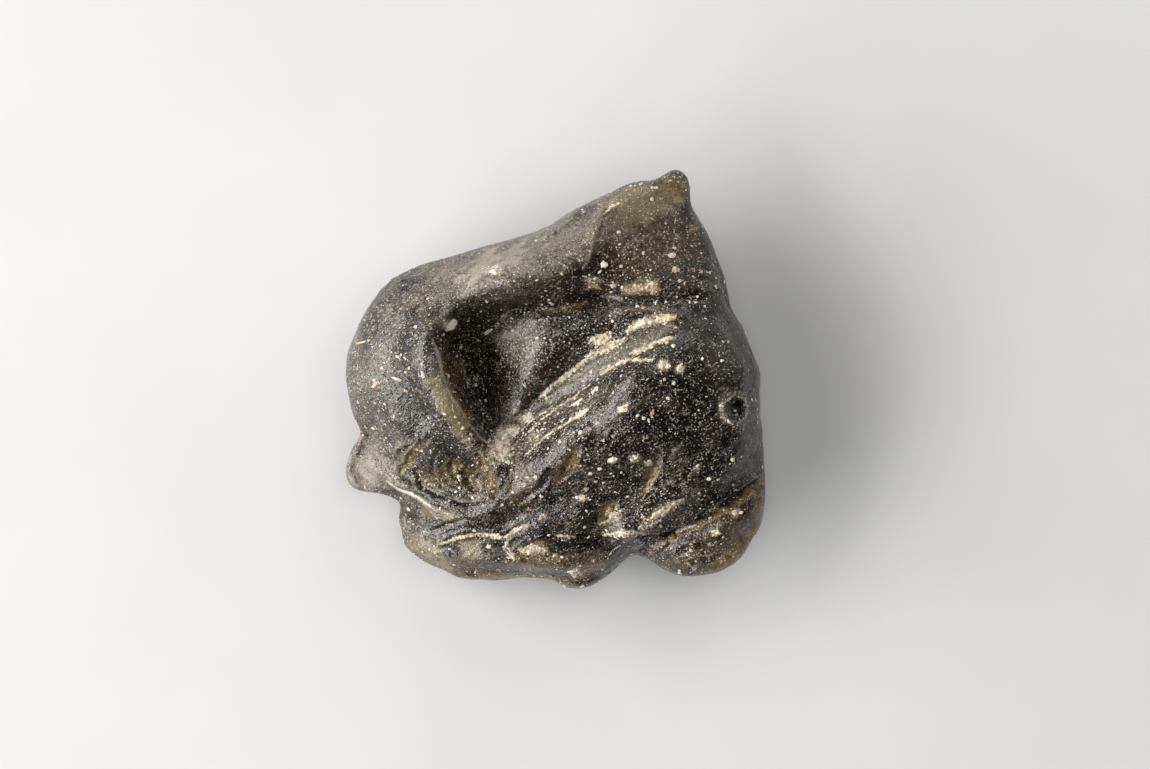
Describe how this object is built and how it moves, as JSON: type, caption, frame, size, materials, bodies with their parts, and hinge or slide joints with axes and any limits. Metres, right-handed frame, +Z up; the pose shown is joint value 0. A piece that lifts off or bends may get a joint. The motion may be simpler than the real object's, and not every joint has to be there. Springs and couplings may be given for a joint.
{
  "type": "darwin glass specimen",
  "caption": "Frosted dark olive impact glass fragment: a thick roll curls round a deep hollow beside a clay-filled crack, with a thin flange and a flat patch to rest on.",
  "frame": {"origin": "under the middle of the outline seen from above, in the plane of the flat patch that it rests on", "axes": "+Z up through its thickness, with the folded face up; +X towards the end with the crater, +Y towards the top corner"},
  "size_m": [0.0463, 0.0462, 0.022],
  "materials": {
    "frosted_glass": "frosted, finely pitted natural glass, olive brown and see-through only at its thin edges",
    "clay": "dry matt clay packed in the crack, the creases and the pits"
  },
  "bodies": {
    "root": {"darwin_glass": "frosted_glass"}
  },
  "joints": []
}
